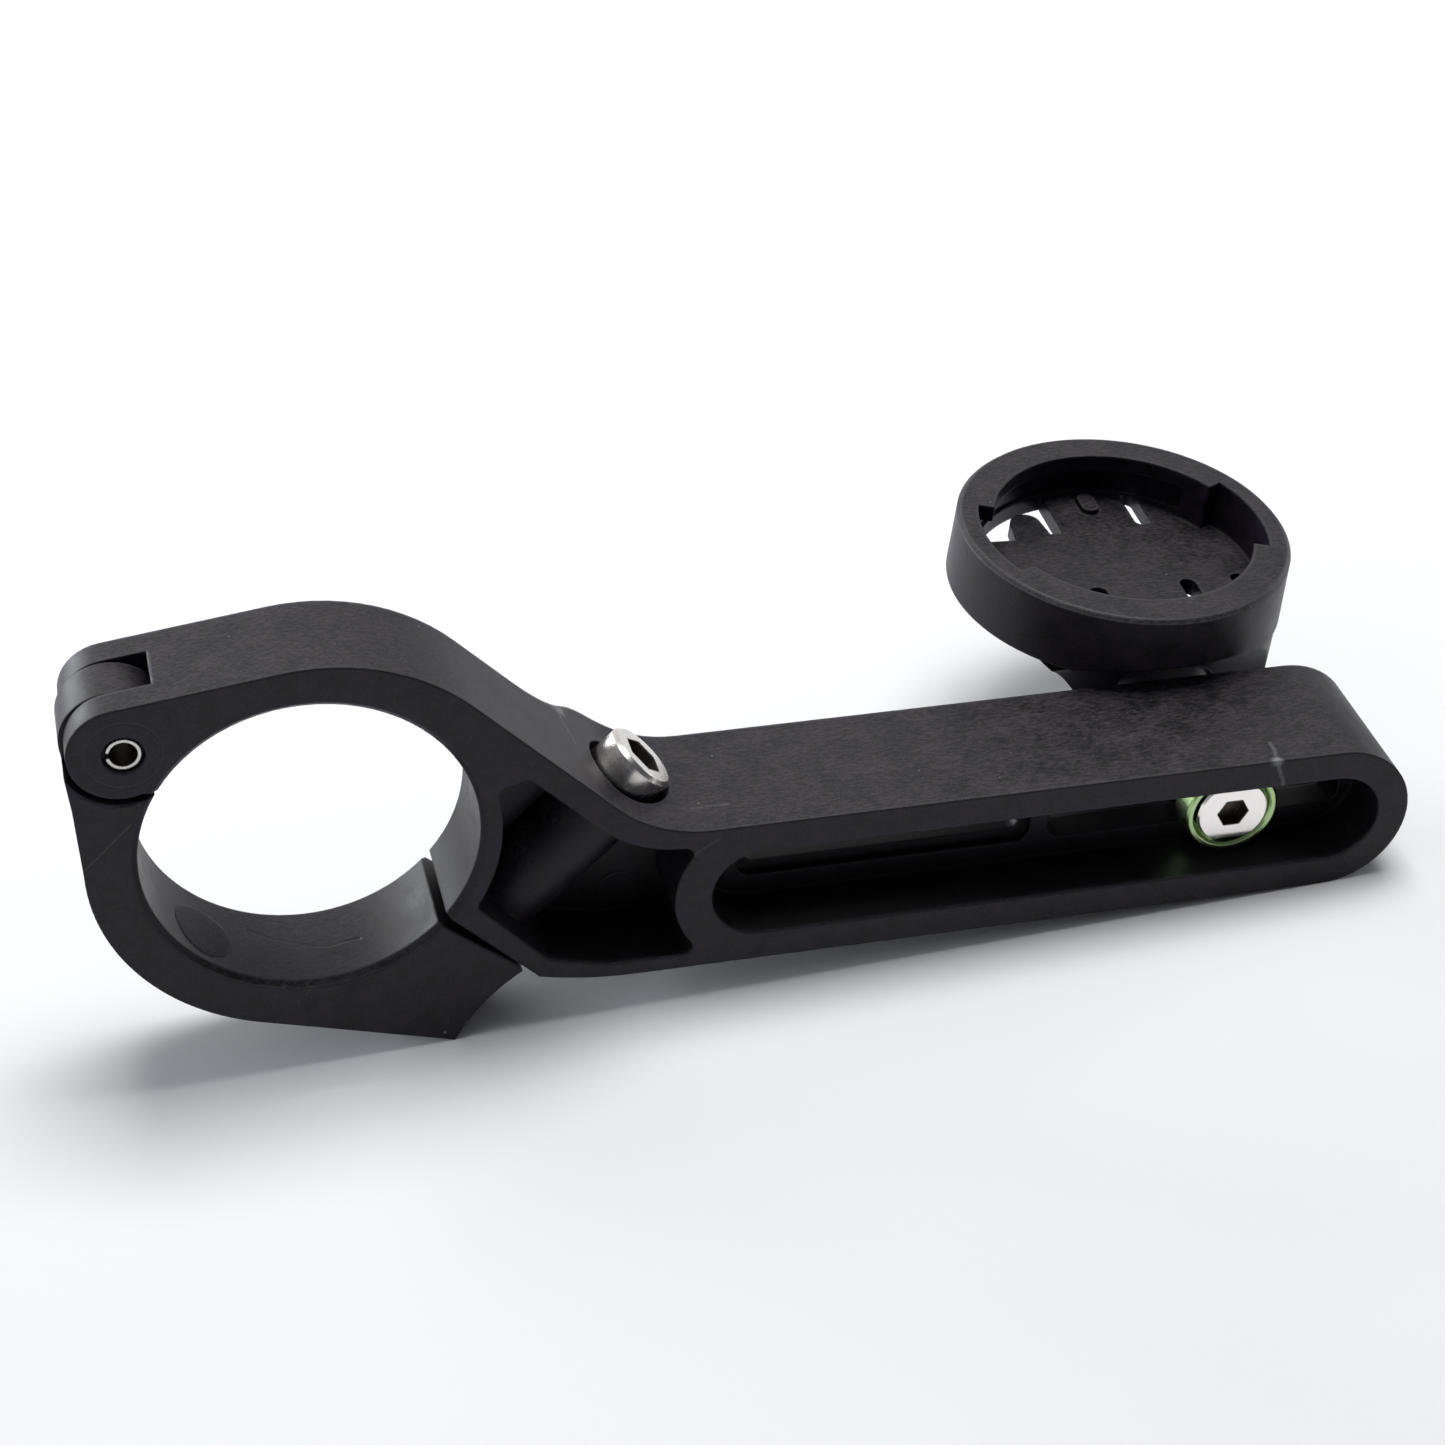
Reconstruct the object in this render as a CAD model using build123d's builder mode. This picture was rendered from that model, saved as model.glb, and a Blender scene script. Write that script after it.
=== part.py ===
# Bike computer mount: hinged handlebar clamp, long channel arm and a sliding quarter-turn cradle.
# Frame: origin on the handlebar axis at the middle of the clamp, +Y along the handlebar,
# +X along the arm, +Z up. All lengths are millimetres and all angles degrees.
import os
from math import acos, atan2, cos, degrees, hypot, radians, sin, sqrt, tan

from build123d import *

os.makedirs("parts", exist_ok=True)

# Handlebar clamp
bar_d = 31.8
bore_chamfer = 0.6
clamp_w = 11.2
crown_wall = 4.6
crown_shift = 0.85
crown_drop = 0.4
lower_wall = 4.9

# Arm
arm_w = 16.0
arm_h = 16.6
arm_drop = 11.8
arm_end_x = 103.7
slope_fillet = 13.0
flare_len = 10.0
channel_gap = 0.15
channel_setback = 10.65
front_channel = 6.3
web_t = 3.4
slot_h = 5.6
slot_round = 1.4
slot_bridge = 2.0
slot_step = 1.0
slide_slot_len = 31.8
slide_slot_margin = 1.6
idle_slot_margin = 4.1

# Hinge, on the far side of the bore from the arm
pin_offset = 4.87
pin_angle = 141.25
pin_d = 3.2
pin_bore = 2.6
pin_slit = 0.6
pin_recess = 0.2
pin_mouth_d = 3.9
pin_mouth_depth = 0.8
ear_wall = 3.2
ear_shift = 0.3
ear_lift = 0.1
ear_gap = 5.3
knuckle_wall = 3.2
knuckle_gap = 0.15
knuckle_shift = 0.6
knuckle_sag = 0.2
knuckle_end_gap = 0.1
slot_lean = 24.5
ear_end_a = 290
ear_foot_a = 148
saddle_gap = 0.3
saddle_flare = 0.3
saddle_a = 199
saddle_foot_a = 150
strap_in = 0.1
strap_drop = 0.2
strap_len = 2.6

# Parting line, square to the clamp bolt, open at the bore and nearly shut at the lug's corner
parting_sum = 2.5
parting_gap_in = 1.2
parting_gap_out = 0.28
bolt_offset = 7.24
bolt_reach = 7.1
bolt_thread_d = 4.5
bolt_head_d = 7.6
bolt_head_h = 4.2
bolt_head_bevel = 0.4
bolt_socket_af = 4.0
bolt_socket_depth = 2.8
bolt_hole_gap = 0.5
counterbore_depth = 1.2
counterbore_gap = 0.65
boss_wall = 1.7
lug_past = 2.68
lug_toe_out = 1.35
lug_waist = 0.36
lug_shoulder = 0.75
lug_depth = 10.68
lug_boss_top = 1.0
lug_boss_end = 8.7
body_tip_past = 5.31
heel_run = 9.65
insert_wall = 1.0
insert_bore_gap = 0.25
insert_len = 6.0
insert_inset = 1.2

# Pocket cored out round the bolt
pocket_depth = 8.5
pocket_ring_wall = 2.0
pocket_slope_wall = 2.7
pocket_roof_wall = 1.8
pocket_roof_r = 11.8
pocket_floor_wall = 1.6
pocket_rib = 3.7
pocket_round = 0.9
pocket_peak = 20.5
pocket_toe = (0.9, 1.9)
pocket_heel = 2.5
pocket_brow = 139

# Cradle screw, cup washer and threaded insert
screw_setback = 13.1
screw_thread_d = 4.7
screw_head_d = 7.6
screw_head_h = 2.2
screw_flats = 6.7
screw_socket_af = 3.0
screw_socket_depth = 1.6
washer_wall = 0.9
washer_h = 3.1
washer_floor = 1.1
washer_head_gap = 0.25
screw_hole_gap = 0.3
slide_gap = 0.1
spigot_gap = 0.2
cradle_insert_wall = 0.85
cradle_insert_gap = 0.1
cradle_insert_len = 8.0
cradle_insert_inset = 3.4
groove_depth = 0.4
groove_w = 1.0

# Cradle
cradle_r = 17.85
cradle_foot = 0.2
cradle_bevel = 0.45
cradle_rim = 0.6
cup_depth = 5.5
cup_floor = 1.9
cup_wall = 2.3
flange_t = 1.8
flange_lip = 1.7
notch_half = 24.0
notch_mid = 3.5
stop_gap = 0.5
stop_half = 6.5
stop_sink = 0.75
cradle_back = 3.45
cradle_rise = 17.62
cradle_out = 15.6
cradle_tilt = 2.8
cradle_lean = 2.1
scoop_in = 4.0
scoop_gap = 2.0
neck_r = 8.3
neck_stand = 2.9
neck_t = 8.4
neck_left_x = 13.5
neck_span = 30.6
neck_rise = 10.8
neck_droop = 1.3
neck_left_bow = (5.0, 5.8)
neck_right_bow = (1.9, 6.3)
cradle_boss_r = 6.0

# Latch opening with its finger, in the cup floor
latch_edge = 0.3
latch_a0 = 103.2
latch_a1 = 154.5
latch_front = 6.4
latch_step = 0.8
finger_x = -7.0
finger_r = 1.7
finger_gap = 2.2

# Slots, groove and detent bar in the cup floor: their widths, lengths and gaps from the wall
slot_back = (6.35, 1.9, 6.9, 4.1)
slot_front = (7.0, 1.8, 6.2, 9.6)
slot_side = (4.4, 1.7, 4.0, 2.6)
groove_front = (3.4, 2.0, 6.4, 9.0)
floor_groove = 1.2
detent = (1.0, 2.0, 3.4, 3.4)
detent_h = 0.6
end_round = 0.45


def polar(r, a, x=0.0, z=0.0):
    return (x + r * cos(radians(a)), z + r * sin(radians(a)))


# Derived sizes of the clamp and arm
bore_r = bar_d / 2
crown_r = bore_r + crown_wall
crown_c = (crown_shift, -crown_drop)
slope_sum = crown_shift - crown_drop + crown_r * sqrt(2)
lower_r = bore_r + lower_wall
front_y = -clamp_w / 2
clamp_back_y = clamp_w / 2
arm_back_y = front_y + arm_w
arm_z = -arm_drop
arm_top = arm_z + arm_h / 2
arm_bottom = arm_z - arm_h / 2
channel_r = screw_head_d / 2 + washer_head_gap + washer_wall + channel_gap
web_front_y = front_y + front_channel
web_back_y = web_front_y + web_t
slope_x = slope_sum - arm_top
channel_start_x = slope_x + channel_setback
slide_slot_x1 = arm_end_x + channel_r - slide_slot_margin
slide_slot_x0 = slide_slot_x1 - slide_slot_len
idle_slot_x0 = channel_start_x - channel_r + idle_slot_margin
idle_slot_x1 = slide_slot_x0 - slot_bridge
idle_slot_len = idle_slot_x1 - idle_slot_x0

# Derived sizes of the hinge
pin_x, pin_z = polar(bore_r + pin_offset, pin_angle)
ear_r = pin_d / 2 + ear_wall
ear_c = (pin_x - ear_shift, pin_z + ear_lift)
knuckle_hole_r = pin_d / 2 + knuckle_gap
knuckle_r = knuckle_hole_r + knuckle_wall
knuckle_w = ear_gap - 2 * knuckle_gap
knuckle_c = (pin_x - knuckle_shift, pin_z - knuckle_sag)
saddle_r = ear_r + ear_shift + saddle_gap
ear_dx = ear_c[0] - crown_c[0]
ear_dz = ear_c[1] - crown_c[1]
crown_a = degrees(atan2(ear_dz, ear_dx)) - degrees(acos((crown_r - ear_r) / hypot(ear_dx, ear_dz)))

# Bolt axis: t runs out along the parting face from it and h runs up it towards the head
bolt_line = (bore_r + bolt_offset) * sqrt(2)
bolt_x = (parting_sum + bolt_line) / 2
bolt_y = (front_y + arm_back_y) / 2
bolt_z = (parting_sum - bolt_line) / 2
bolt_plane = Plane(origin=(bolt_x, bolt_y, bolt_z), x_dir=(0, 1, 0), z_dir=(1, 0, 1))
seat_h = (slope_sum - parting_sum) / sqrt(2) - counterbore_depth
bolt_hole_r = bolt_thread_d / 2 + bolt_hole_gap
boss_r = bolt_hole_r + boss_wall
insert_r = bolt_thread_d / 2 + insert_bore_gap + insert_wall


def by_bolt(t, h):
    return (bolt_x + (t + h) / sqrt(2), bolt_z + (h - t) / sqrt(2))


def wedge(mid, half, reach):
    corners = (0, 0), polar(reach, mid - half), polar(reach, mid + half)
    Polygon(*corners, align=None, mode=Mode.INTERSECT)


def floor_slot(x, y, w, length):
    with Locations((x, y)):
        RectangleRounded(w, length, end_round * w)


def on_bore(line_sum):
    half = sqrt(2 * bore_r**2 - line_sum**2)
    return ((line_sum + half) / 2, (line_sum - half) / 2)


# Construction points of the side profile
body_tip = by_bolt(body_tip_past, 0)
heel_x = body_tip[0] + heel_run
fillet_run = slope_fillet * tan(radians(22.5))
fillet_a = (slope_x - fillet_run / sqrt(2), arm_top + fillet_run / sqrt(2))
fillet_b = (slope_x + fillet_run, arm_top)
fillet_c = (slope_x + fillet_run, arm_top + slope_fillet)
flare_mid = (heel_x - flare_len / 2, (clamp_back_y + arm_back_y) / 2)

# Arm with the upper clamp half, moulded in one piece
with BuildPart() as arm:
    with BuildSketch(Plane.XZ.offset(-arm_back_y)):
        with BuildLine():
            Line(on_bore(parting_sum), body_tip)
            TangentArc((heel_x, arm_bottom), body_tip, tangent=(-1, 0))
            Line((heel_x, arm_bottom), (arm_end_x, arm_bottom))
            ThreePointArc(
                (arm_end_x, arm_bottom),
                (arm_end_x + arm_h / 2, arm_z),
                (arm_end_x, arm_top),
            )
            Line((arm_end_x, arm_top), fillet_b)
            ThreePointArc(fillet_b, polar(slope_fillet, 247.5, *fillet_c), fillet_a)
            Line(fillet_a, polar(crown_r, 45, *crown_c))
            ThreePointArc(
                polar(crown_r, 45, *crown_c),
                polar(crown_r, 72, *crown_c),
                polar(crown_r, crown_a, *crown_c),
            )
            Line(polar(crown_r, crown_a, *crown_c), polar(ear_r, crown_a, *ear_c))
            ThreePointArc(
                polar(ear_r, crown_a, *ear_c),
                polar(ear_r, 195, *ear_c),
                polar(ear_r, ear_end_a, *ear_c),
            )
            Line(polar(ear_r, ear_end_a, *ear_c), polar(bore_r, ear_foot_a))
            ThreePointArc(polar(bore_r, ear_foot_a), polar(bore_r, 55), on_bore(parting_sum))
        make_face()
    extrude(amount=arm_w)
    # the back steps in from the wide arm to the narrow clamp
    with BuildSketch(Plane.XY.offset(-2 * lower_r)):
        with BuildLine():
            Line((-2 * lower_r, clamp_back_y), (heel_x - flare_len, clamp_back_y))
            TangentArc((heel_x - flare_len, clamp_back_y), flare_mid, tangent=(1, 0))
            TangentArc((heel_x, arm_back_y), flare_mid, tangent=(-1, 0))
            Line((heel_x, arm_back_y), (heel_x, 2 * arm_back_y))
            Line((heel_x, 2 * arm_back_y), (-2 * lower_r, 2 * arm_back_y))
            Line((-2 * lower_r, 2 * arm_back_y), (-2 * lower_r, clamp_back_y))
        make_face()
    extrude(amount=4 * lower_r, mode=Mode.SUBTRACT)
    # bore edge chamfers, front and back
    for edge_y, inward in ((front_y, -bore_chamfer), (clamp_back_y, bore_chamfer)):
        with BuildSketch(Plane.XZ.offset(-edge_y)):
            Circle(bore_r + bore_chamfer)
        extrude(amount=inward, taper=45, mode=Mode.SUBTRACT)
    # slot between the ears for the hinge knuckle, its end wall leaning with the crown
    slot_out = polar(1, slot_lean)
    slot_plane = Plane(
        origin=(pin_x, ear_gap / 2, pin_z),
        x_dir=(slot_out[0], 0, slot_out[1]),
        z_dir=(0, -1, 0),
    )
    with BuildSketch(slot_plane):
        with Locations((knuckle_r + knuckle_end_gap, 0)):
            Rectangle(4 * knuckle_r, 4 * knuckle_r, align=(Align.MAX, Align.CENTER))
    extrude(amount=ear_gap, mode=Mode.SUBTRACT)
    # pin hole through both ears
    with BuildSketch(Plane.XZ.offset(-clamp_back_y)):
        with Locations((pin_x, pin_z)):
            Circle(pin_d / 2)
    extrude(amount=clamp_w, mode=Mode.SUBTRACT)
    for edge_y, inward in ((front_y, -pin_mouth_depth), (clamp_back_y, pin_mouth_depth)):
        with BuildSketch(Plane.XZ.offset(-edge_y)):
            with Locations((pin_x, pin_z)):
                Circle(pin_mouth_d / 2)
        extrude(amount=inward, mode=Mode.SUBTRACT)
    # cored pocket round the bolt
    ring_r = bore_r + pocket_ring_wall
    rib_r = channel_r + pocket_rib
    slope_in = slope_sum - pocket_slope_wall * sqrt(2)
    roof_z = arm_top - pocket_roof_wall
    roof_run = pocket_roof_r * tan(radians(22.5))
    roof_c = (slope_in - roof_z + roof_run, roof_z + pocket_roof_r)
    floor_z = arm_bottom + pocket_floor_wall
    peak = (pocket_peak, slope_in - pocket_peak)
    toe = (body_tip[0] + pocket_toe[0], body_tip[1] + pocket_toe[1])
    heel = (heel_x - pocket_heel, floor_z)
    with BuildSketch(Plane.XZ.offset(-front_y)) as bolt_pocket:
        with BuildLine():
            ThreePointArc(polar(ring_r, 14), polar(ring_r, -8), polar(ring_r, -31.5))
            Line(polar(ring_r, -31.5), toe)
            Line(toe, heel)
            Line(heel, polar(rib_r, 229.5, channel_start_x, arm_z))
            ThreePointArc(
                polar(rib_r, 229.5, channel_start_x, arm_z),
                polar(rib_r, 186, channel_start_x, arm_z),
                polar(rib_r, pocket_brow, channel_start_x, arm_z),
            )
            Line(polar(rib_r, pocket_brow, channel_start_x, arm_z), (roof_c[0], roof_z))
            ThreePointArc(
                (roof_c[0], roof_z),
                polar(pocket_roof_r, 247.5, *roof_c),
                polar(pocket_roof_r, 225, *roof_c),
            )
            Line(polar(pocket_roof_r, 225, *roof_c), peak)
            Line(peak, polar(ring_r, 14))
        make_face()
        corners = bolt_pocket.vertices().filter_by(
            lambda v: hypot(v.X - roof_c[0], v.Y - roof_c[1]) > pocket_roof_r + 0.01
        )
        fillet(corners, radius=pocket_round)
    extrude(amount=-pocket_depth, mode=Mode.SUBTRACT)
    # boss that carries the clamp bolt across the pocket
    with BuildSketch(bolt_plane):
        Circle(boss_r)
    extrude(amount=seat_h - 1)
    with BuildSketch(bolt_plane.offset(-1)):
        Circle(bolt_hole_r)
    extrude(amount=seat_h + 2, mode=Mode.SUBTRACT)
    with BuildSketch(bolt_plane.offset(seat_h)):
        Circle(bolt_head_d / 2 + counterbore_gap)
    extrude(amount=2 * bolt_head_h, mode=Mode.SUBTRACT)
    # front and rear channels leave a web between them
    for plane_y, depth in ((front_y, front_channel), (web_back_y, arm_back_y - web_back_y)):
        with BuildSketch(Plane.XZ.offset(-plane_y)):
            with Locations(((channel_start_x + arm_end_x) / 2, arm_z)):
                SlotCenterToCenter(arm_end_x - channel_start_x, 2 * channel_r)
        extrude(amount=-depth, mode=Mode.SUBTRACT)
    # through slots in the web: the far one is plain, the near one has a stepped rim
    with BuildSketch(Plane.XZ.offset(-web_back_y)):
        with Locations(((slide_slot_x0 + slide_slot_x1) / 2, arm_z)):
            RectangleRounded(slide_slot_len, slot_h, slot_round)
        with Locations(((idle_slot_x0 + idle_slot_x1) / 2, arm_z)):
            RectangleRounded(idle_slot_len - 2 * slot_step, slot_h - 2 * slot_step, slot_step)
    extrude(amount=web_t, mode=Mode.SUBTRACT)
    with BuildSketch(Plane.XZ.offset(-web_front_y)):
        with Locations(((idle_slot_x0 + idle_slot_x1) / 2, arm_z)):
            RectangleRounded(idle_slot_len, slot_h, slot_round)
    extrude(amount=-slot_step, mode=Mode.SUBTRACT)
arm.part.label = "arm"

# Lower clamp half, swings on the hinge pin
inner_sum = parting_sum - parting_gap_in * sqrt(2)
lug_corner = by_bolt(lug_past, -parting_gap_out)
lug_side = by_bolt(lug_past + lug_shoulder, -parting_gap_out - 0.2)
lug_toe = by_bolt(lug_past + lug_toe_out, -lug_depth)
lower_a = degrees(atan2(lug_toe[1], lug_toe[0])) - degrees(acos(lower_r / hypot(*lug_toe)))
strap = (pin_x - ear_r - ear_shift + strap_in, pin_z - saddle_r - strap_drop)
strap_end = strap[1] - strap_len
with BuildPart() as lower_clamp:
    with BuildSketch(Plane.XZ.offset(-clamp_back_y)):
        with BuildLine():
            Line(on_bore(inner_sum), lug_corner)
            Line(lug_corner, lug_side)
            ThreePointArc(lug_side, by_bolt(lug_past + lug_waist, -lug_depth / 2), lug_toe)
            Line(lug_toe, polar(lower_r, lower_a))
            ThreePointArc(polar(lower_r, lower_a), polar(lower_r, -145), polar(lower_r, -180))
            Line(polar(lower_r, -180), strap)
            Line(strap, polar(saddle_r + saddle_flare, saddle_a, pin_x, pin_z))
            ThreePointArc(
                polar(saddle_r + saddle_flare, saddle_a, pin_x, pin_z),
                polar(saddle_r + saddle_flare / 3, 240, pin_x, pin_z),
                polar(saddle_r, ear_end_a, pin_x, pin_z),
            )
            Line(polar(saddle_r, ear_end_a, pin_x, pin_z), polar(bore_r, saddle_foot_a))
            ThreePointArc(polar(bore_r, saddle_foot_a), polar(bore_r, -125), on_bore(inner_sum))
        make_face()
    extrude(amount=clamp_w)
    # hinge knuckle between the ears
    with BuildSketch(Plane.XZ.offset(-knuckle_w / 2)):
        with Locations(knuckle_c):
            Circle(knuckle_r)
        with BuildLine():
            Polyline(
                (knuckle_c[0] - knuckle_r, knuckle_c[1]),
                strap,
                (strap[0] + saddle_flare, strap_end),
                (pin_x + pin_d / 3, strap_end),
                polar(bore_r, saddle_foot_a + 0.5),
                (knuckle_c[0] + knuckle_r / 2, pin_z - ear_wall),
                (pin_x, pin_z),
                close=True,
            )
        make_face()
    extrude(amount=knuckle_w)
    with BuildSketch(Plane.XZ.offset(-clamp_back_y)):
        Circle(bore_r)
        with Locations((pin_x, pin_z)):
            Circle(knuckle_hole_r)
    extrude(amount=clamp_w, mode=Mode.SUBTRACT)
    for edge_y, inward in ((front_y, -bore_chamfer), (clamp_back_y, bore_chamfer)):
        with BuildSketch(Plane.XZ.offset(-edge_y)):
            Circle(bore_r + bore_chamfer)
        extrude(amount=inward, taper=45, mode=Mode.SUBTRACT)
    # boss round the bolt, standing out behind the lug
    with BuildSketch(bolt_plane.offset(-lug_boss_end)):
        Circle(boss_r)
    extrude(amount=lug_boss_end - lug_boss_top)
    # bolt passage with the moulded-in insert cavity
    with BuildSketch(bolt_plane.offset(-2 * lug_depth)):
        Circle(bolt_hole_r)
    extrude(amount=2 * lug_depth + 1, mode=Mode.SUBTRACT)
    with BuildSketch(bolt_plane.offset(-insert_inset - insert_len)):
        Circle(insert_r)
    extrude(amount=insert_len, mode=Mode.SUBTRACT)
lower_clamp.part.label = "lower_clamp"

# Slotted spring pin, slit towards the left
with BuildPart() as hinge_pin:
    with BuildSketch(Plane.XZ.offset(-(clamp_back_y - pin_recess))):
        with Locations((pin_x, pin_z)):
            Circle(pin_d / 2)
            Circle(pin_bore / 2, mode=Mode.SUBTRACT)
        with Locations((pin_x - pin_d / 2, pin_z)):
            Rectangle(pin_d, pin_slit, mode=Mode.SUBTRACT)
    extrude(amount=clamp_w - 2 * pin_recess)
hinge_pin.part.label = "hinge_pin"

# Clamp bolt with socket head
bolt_axis = Axis((bolt_x, bolt_y, bolt_z), (1, 0, 1))
with BuildPart() as clamp_bolt:
    with BuildSketch(bolt_plane.offset(seat_h)):
        Circle(bolt_head_d / 2)
    extrude(amount=bolt_head_h)
    chamfer(clamp_bolt.faces().sort_by(bolt_axis)[-1].edges(), length=bolt_head_bevel)
    with BuildSketch(bolt_plane.offset(seat_h + bolt_head_h)):
        RegularPolygon(bolt_socket_af / 2, 6, major_radius=False)
    extrude(amount=-bolt_socket_depth, mode=Mode.SUBTRACT)
    with BuildSketch(bolt_plane.offset(-bolt_reach)):
        Circle(bolt_thread_d / 2)
    extrude(amount=seat_h + bolt_reach)
    chamfer(clamp_bolt.faces().sort_by(bolt_axis)[0].edges(), length=0.5)
clamp_bolt.part.label = "clamp_bolt"

# Brass insert held in the lower lug, grooved round its middle
with BuildPart() as clamp_insert:
    with BuildSketch(bolt_plane.offset(-insert_inset - insert_len)):
        Circle(insert_r)
        Circle(insert_r - insert_wall, mode=Mode.SUBTRACT)
    extrude(amount=insert_len)
    with BuildSketch(bolt_plane.offset(-insert_inset - (insert_len + groove_w) / 2)):
        Circle(insert_r + groove_depth)
        Circle(insert_r - groove_depth, mode=Mode.SUBTRACT)
    extrude(amount=groove_w, mode=Mode.SUBTRACT)
clamp_insert.part.label = "clamp_insert"

# Cup washer and flat-sided screw in the front channel
screw_x = slide_slot_x1 - screw_setback
screw_z = arm_z
screw_hole_r = screw_thread_d / 2 + screw_hole_gap
washer_cup_r = screw_head_d / 2 + washer_head_gap
head_seat_y = web_front_y - washer_floor
cradle_insert_y = web_back_y + cradle_insert_inset
cradle_insert_r = screw_thread_d / 2 + cradle_insert_gap + cradle_insert_wall
with BuildPart() as cup_washer:
    with BuildSketch(Plane.XZ.offset(-web_front_y)):
        with Locations((screw_x, screw_z)):
            Circle(washer_cup_r + washer_wall)
            Circle(screw_hole_r, mode=Mode.SUBTRACT)
    extrude(amount=washer_h)
    with BuildSketch(Plane.XZ.offset(-head_seat_y)):
        with Locations((screw_x, screw_z)):
            Circle(washer_cup_r)
    extrude(amount=washer_h, mode=Mode.SUBTRACT)
    chamfer(cup_washer.faces().sort_by(Axis.Y)[0].edges(), length=0.25)
cup_washer.part.label = "cup_washer"

with BuildPart() as cradle_screw:
    with BuildSketch(Plane.XZ.offset(-head_seat_y)):
        with Locations((screw_x, screw_z)):
            Circle(screw_head_d / 2)
            Rectangle(screw_head_d, screw_flats, mode=Mode.INTERSECT)
    extrude(amount=screw_head_h)
    chamfer(cradle_screw.faces().sort_by(Axis.Y)[0].edges(), length=0.2)
    with BuildSketch(Plane.XZ.offset(-(head_seat_y - screw_head_h))):
        with Locations((screw_x, screw_z)):
            RegularPolygon(screw_socket_af / 2, 6, major_radius=False)
    extrude(amount=-screw_socket_depth, mode=Mode.SUBTRACT)
    with BuildSketch(Plane.XZ.offset(-(cradle_insert_y + cradle_insert_len))):
        with Locations((screw_x, screw_z)):
            Circle(screw_thread_d / 2)
    extrude(amount=cradle_insert_y + cradle_insert_len - head_seat_y)
cradle_screw.part.label = "cradle_screw"

# Cradle: cup with a quarter-turn flange, carried on a neck behind the arm
tilt = radians(cradle_tilt)
lean = radians(cradle_lean)
cup_x = screw_x - cradle_back
cup_plane = Plane(
    origin=(cup_x, arm_back_y + cradle_out, screw_z + cradle_rise),
    x_dir=(cos(tilt), 0, -sin(tilt)),
    z_dir=(sin(tilt), -sin(lean), cos(tilt)),
)
cradle_h = cup_depth + cup_floor
tab_r = cradle_r - cup_wall
flange_r = tab_r - flange_lip
latch_r = tab_r - latch_edge
latch_r0 = polar(latch_r, latch_a0)
latch_r1 = polar(latch_r, latch_a1)
latch_back = latch_front + latch_step
finger_left = (finger_x - 1.3 * finger_r, latch_front)
finger_right = (finger_x + 1.2 * finger_r, latch_back)
finger_y = sqrt(latch_r**2 - finger_x**2) - finger_gap - finger_r
neck_y0 = arm_back_y + neck_stand
neck_y1 = neck_y0 + neck_t
neck_left = polar(neck_r, 191, screw_x, screw_z)
neck_right = polar(neck_r, -11, screw_x, screw_z)
neck_top_l = (cup_x - neck_left_x, screw_z + neck_rise)
neck_top_r = (neck_top_l[0] + neck_span, screw_z + neck_rise - neck_droop)
neck_bow_l = (neck_top_l[0] + neck_left_bow[0], neck_top_l[1] - neck_left_bow[1])
neck_bow_r = (neck_top_r[0] - neck_right_bow[0], neck_top_r[1] - neck_right_bow[1])
scoop_y = arm_back_y - scoop_in
scoop_r = hypot(scoop_in, arm_h / 2) + scoop_gap
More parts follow.
